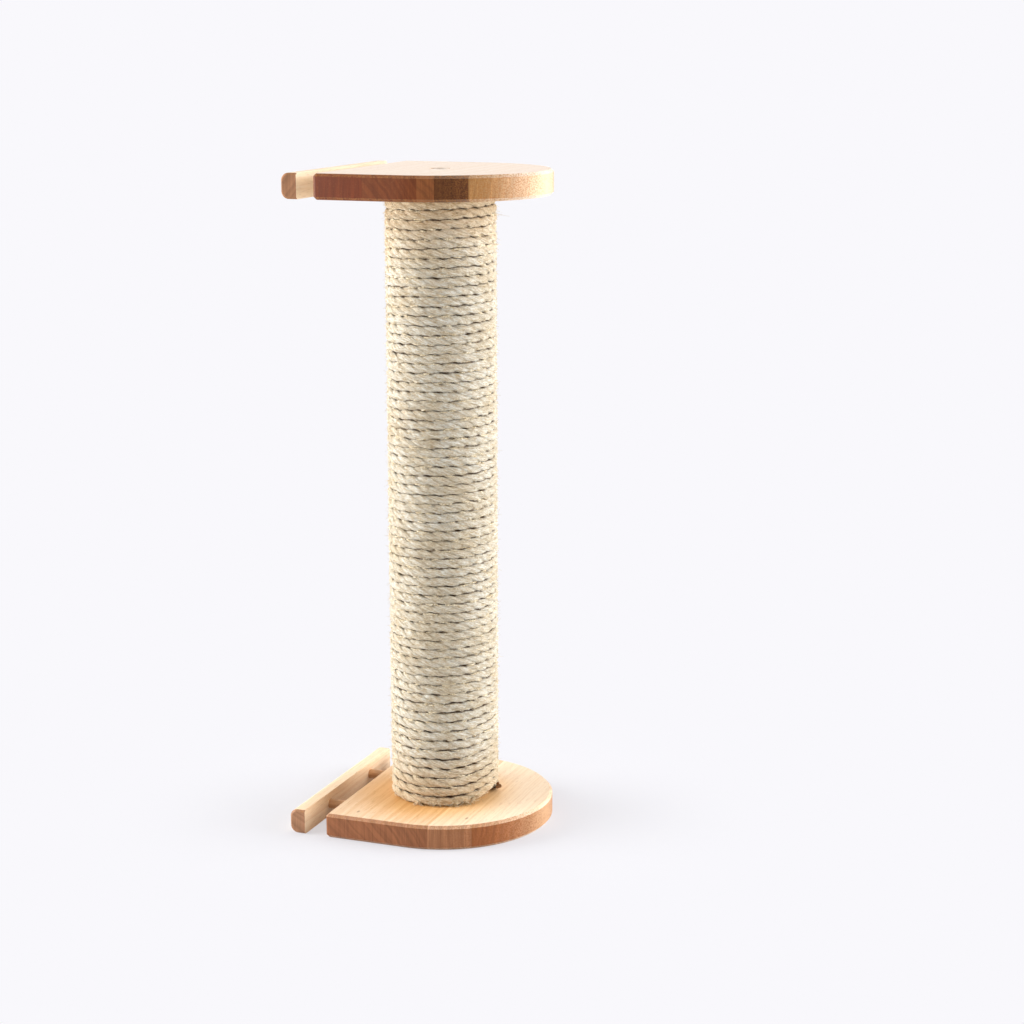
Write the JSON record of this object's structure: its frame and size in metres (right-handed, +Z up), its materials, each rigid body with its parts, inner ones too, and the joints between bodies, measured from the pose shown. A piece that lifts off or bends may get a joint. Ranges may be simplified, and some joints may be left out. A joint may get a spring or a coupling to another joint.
{
  "type": "cat scratching post",
  "caption": "Cat scratching post: a column wound with sisal rope between D-shaped wooden boards, each with a wall bar that plugs onto its straight edge with dowels.",
  "frame": {"origin": "middle of the base's bounding box, on the floor that the bottom board and bar stand on", "axes": "+Z up along the post, +X from the wall bars to the round noses of the boards, +Y along the straight edges"},
  "size_m": [0.1424, 0.134, 0.4],
  "materials": {
    "board_wood": "clear oiled light hardwood, end grain on the sides",
    "bar_wood": "clear oiled light hardwood",
    "dowel_wood": "sanded hardwood dowel",
    "tube_board": "spiral wound board",
    "plug_wood": "turned softwood",
    "nail_steel": "plain wire",
    "insert_zinc": "zinc plated",
    "bolt_steel": "dark zinc plated",
    "sisal": "natural three-strand sisal rope"
  },
  "bodies": {
    "post": {"bottom_shelf": "board_wood", "top_shelf": "board_wood", "post_tube": "tube_board", "lower_plug": "plug_wood", "upper_plug": "plug_wood", "lower_plug_nails": "nail_steel", "upper_plug_nails": "nail_steel", "lower_insert": "insert_zinc", "upper_insert": "insert_zinc", "lower_bolt": "bolt_steel", "upper_bolt": "bolt_steel", "sisal_rope": "sisal"},
    "bottom_bar": {"bottom_wall_bar": "bar_wood", "bottom_left_dowel": "dowel_wood", "bottom_right_dowel": "dowel_wood"},
    "top_bar": {"top_wall_bar": "bar_wood", "top_left_dowel": "dowel_wood", "top_right_dowel": "dowel_wood"}
  },
  "joints": [
    {"name": "bottom_bar_slide", "type": "slide", "parent": "post", "child": "bottom_bar", "axis": [-1, 0, 0], "range_m": [-0.0136, 0.0129]},
    {"name": "top_bar_slide", "type": "slide", "parent": "post", "child": "top_bar", "axis": [-1, 0, 0], "range_m": [-0.0099, 0.0165]}
  ]
}
